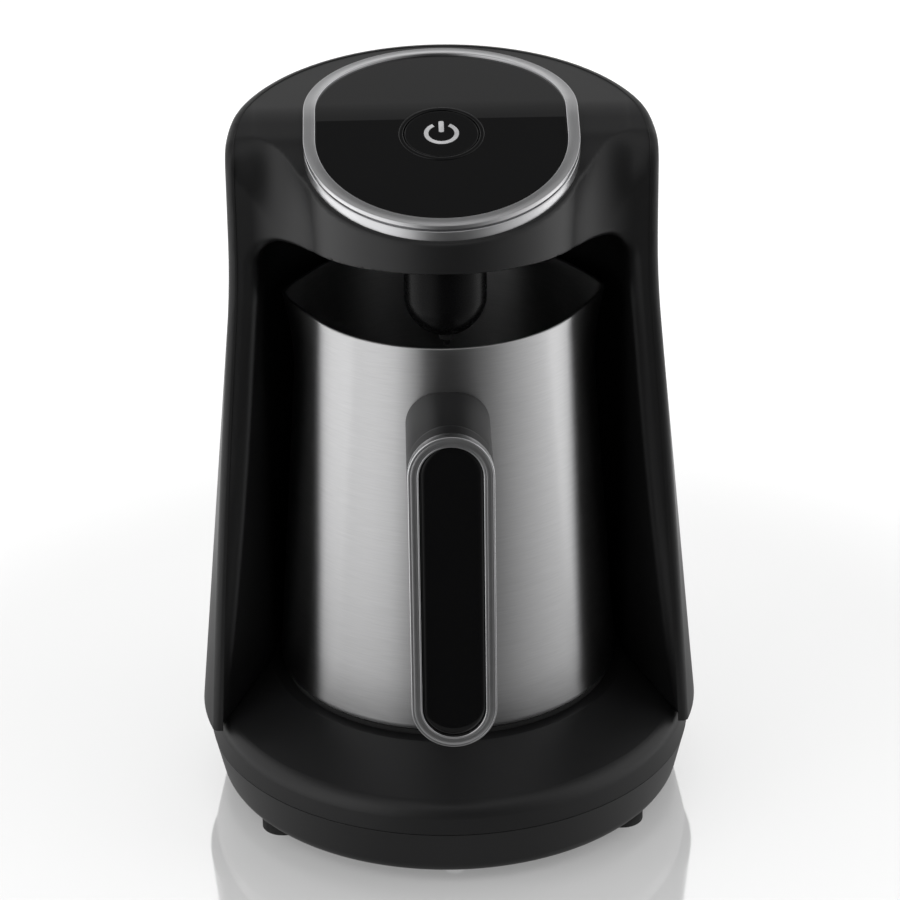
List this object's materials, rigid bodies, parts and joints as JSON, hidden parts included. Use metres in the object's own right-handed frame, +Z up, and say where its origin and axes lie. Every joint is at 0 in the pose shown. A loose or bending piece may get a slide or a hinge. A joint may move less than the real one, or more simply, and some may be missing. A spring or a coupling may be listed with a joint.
{
  "type": "electric turkish coffee maker",
  "caption": "Electric Turkish coffee maker: round tower with a removable steel pot in its bay, power button on a tilted top panel, foam sensor over the pot and hot plate base.",
  "frame": {"origin": "on the table plane, under the axis of the pot where it stands in the bay", "axes": "+Z up, -Y to the front where the handle is, +X to the right seen from the front"},
  "size_m": [0.14, 0.146, 0.1996],
  "materials": {
    "satin_shell": "satin, fine moulded grain",
    "satin_casing": "satin, fine moulded grain",
    "satin_handle": "satin",
    "rubber": "matte",
    "steel_small": "plain",
    "inner_plastic": "plain",
    "plate_metal": "turned",
    "element_metal": "heat stained",
    "shield_metal": "plain",
    "board": "lacquered board",
    "cable": "flat cable",
    "chrome": "satin chrome",
    "gloss_black": "high gloss",
    "icon_white": "lit white",
    "clear_lens": "clear",
    "probe_steel": "polished",
    "brushed_pot": "fine horizontal brushing"
  },
  "bodies": {
    "machine": {"outer_shell": "satin_shell", "front_casing": "satin_casing", "base_cover": "satin_casing", "bottom_cover": "satin_shell", "rubber_feet": "rubber", "base_screws": "steel_small", "cord_grommet": "rubber", "cord_clamp": "inner_plastic", "heating_plate": "plate_metal", "plate_seal": "rubber", "heating_element": "element_metal", "element_pins": "steel_small", "heat_shield": "shield_metal", "thermistor": "inner_plastic", "thermistor_clip": "steel_small", "thermal_fuse": "steel_small", "power_board": "board", "power_board_screws": "steel_small", "relay": "inner_plastic", "transformer": "inner_plastic", "capacitor": "inner_plastic", "terminal_block": "inner_plastic", "riser_cable": "cable", "trim_ring": "chrome", "trim_skirt": "chrome", "top_panel": "gloss_black", "panel_carrier": "inner_plastic", "button_bezel": "gloss_black", "control_board": "board", "control_board_screws": "steel_small", "tact_switch": "inner_plastic", "status_leds": "clear_lens", "light_guides": "clear_lens", "buzzer": "inner_plastic", "sensor_housing": "gloss_black", "probe_collar": "rubber", "foam_probe": "probe_steel", "probe_board": "board"},
    "power_key": {"power_button": "gloss_black", "power_icon": "icon_white"},
    "pot": {"pot_body": "brushed_pot", "pot_base_disc": "plate_metal", "pot_foot_ring": "rubber", "handle_body": "satin_handle", "handle_bracket": "steel_small", "handle_screw": "steel_small", "handle_trim": "chrome", "handle_inlay": "gloss_black"}
  },
  "joints": [
    {"name": "pot_slide", "type": "slide", "parent": "machine", "child": "pot", "axis": [0, -1, 0], "range_m": [0, 0.14]},
    {"name": "power_key_press", "type": "slide", "parent": "machine", "child": "power_key", "axis": [0, 0.2723, -0.9622], "range_m": [0, 0.0008], "stiffness_N_per_m": 400}
  ]
}
